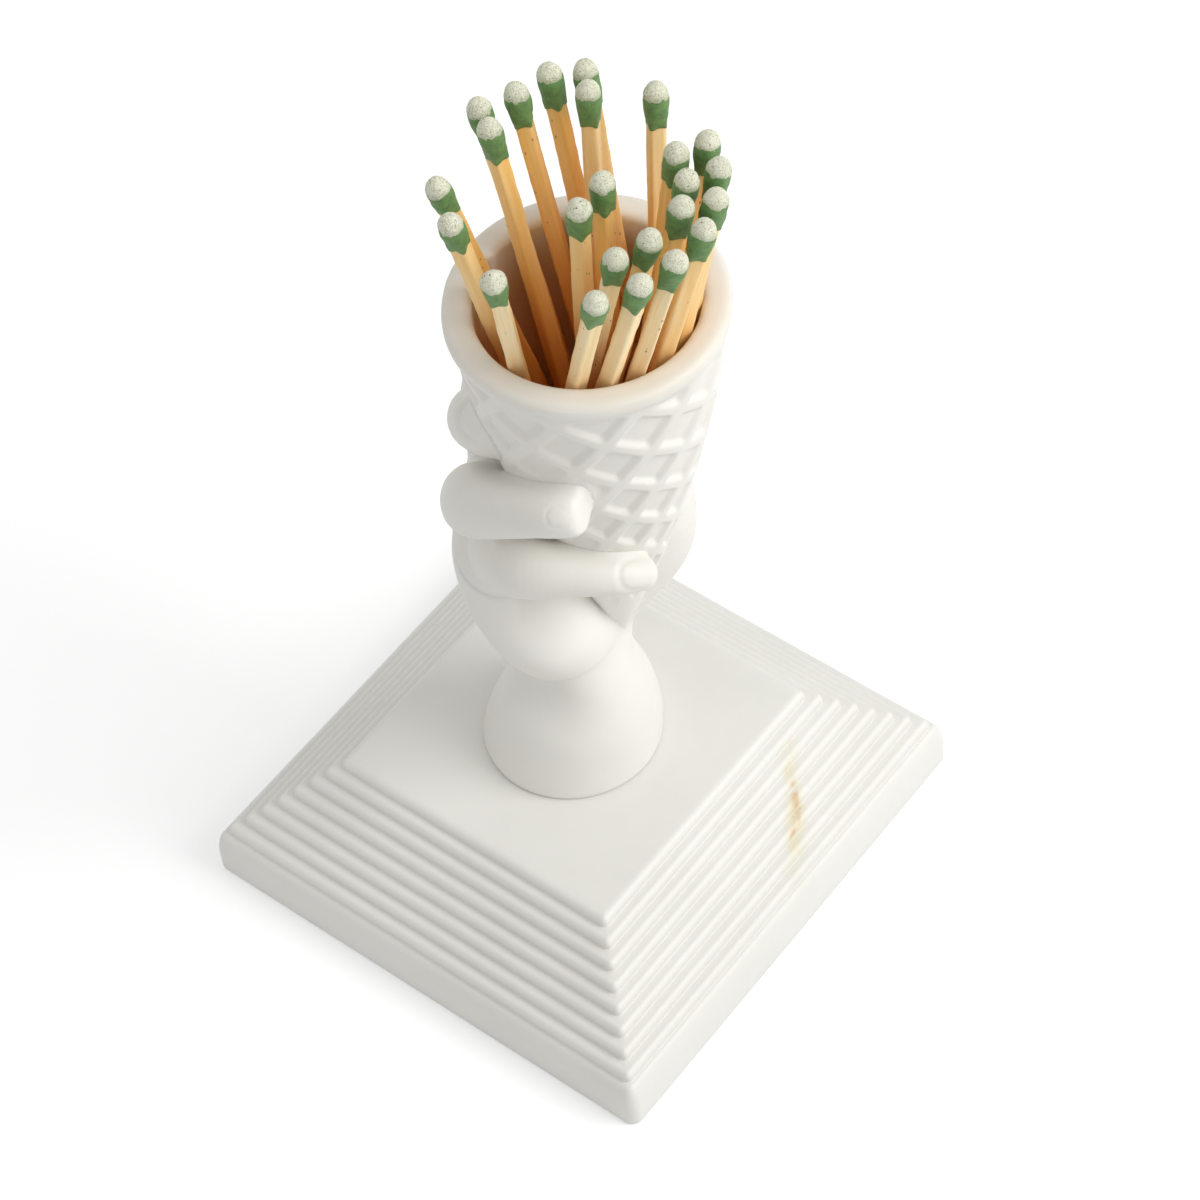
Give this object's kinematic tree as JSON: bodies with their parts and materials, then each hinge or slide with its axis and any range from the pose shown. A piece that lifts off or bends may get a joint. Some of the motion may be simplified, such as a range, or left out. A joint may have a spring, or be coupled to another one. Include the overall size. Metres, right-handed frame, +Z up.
{
  "type": "match striker",
  "caption": "Table match striker: a ceramic hand holding a waffle cone full of wooden matches, on a stepped marble block whose edges strike them.",
  "frame": {"origin": "middle of the marble block's underside", "axes": "+Z up; X and Y along the block's sides"},
  "size_m": [0.1, 0.1, 0.1767],
  "materials": {
    "marble": "honed, off-white with a tan vein",
    "bisque": "unglazed, smooth and matte",
    "splint_wood": "bare sawn softwood",
    "green_compound": "dipped match compound, matte green",
    "pale_compound": "dipped match compound, speckled pale green"
  },
  "bodies": {
    "root": {"marble_base": "marble", "hand_and_cone": "bisque", "splint_1": "splint_wood", "splint_2": "splint_wood", "splint_3": "splint_wood", "splint_4": "splint_wood", "splint_5": "splint_wood", "splint_6": "splint_wood", "splint_7": "splint_wood", "splint_8": "splint_wood", "splint_9": "splint_wood", "splint_10": "splint_wood", "splint_11": "splint_wood", "splint_12": "splint_wood", "splint_13": "splint_wood", "splint_14": "splint_wood", "splint_15": "splint_wood", "splint_16": "splint_wood", "splint_17": "splint_wood", "splint_18": "splint_wood", "splint_19": "splint_wood", "splint_20": "splint_wood", "splint_21": "splint_wood", "splint_22": "splint_wood", "splint_23": "splint_wood", "splint_24": "splint_wood", "head_1": "green_compound", "head_2": "green_compound", "head_3": "green_compound", "head_4": "green_compound", "head_5": "green_compound", "head_6": "green_compound", "head_7": "green_compound", "head_8": "green_compound", "head_9": "green_compound", "head_10": "green_compound", "head_11": "green_compound", "head_12": "green_compound", "head_13": "green_compound", "head_14": "green_compound", "head_15": "green_compound", "head_16": "green_compound", "head_17": "green_compound", "head_18": "green_compound", "head_19": "green_compound", "head_20": "green_compound", "head_21": "green_compound", "head_22": "green_compound", "head_23": "green_compound", "head_24": "green_compound", "match_tips": "pale_compound"}
  },
  "joints": []
}
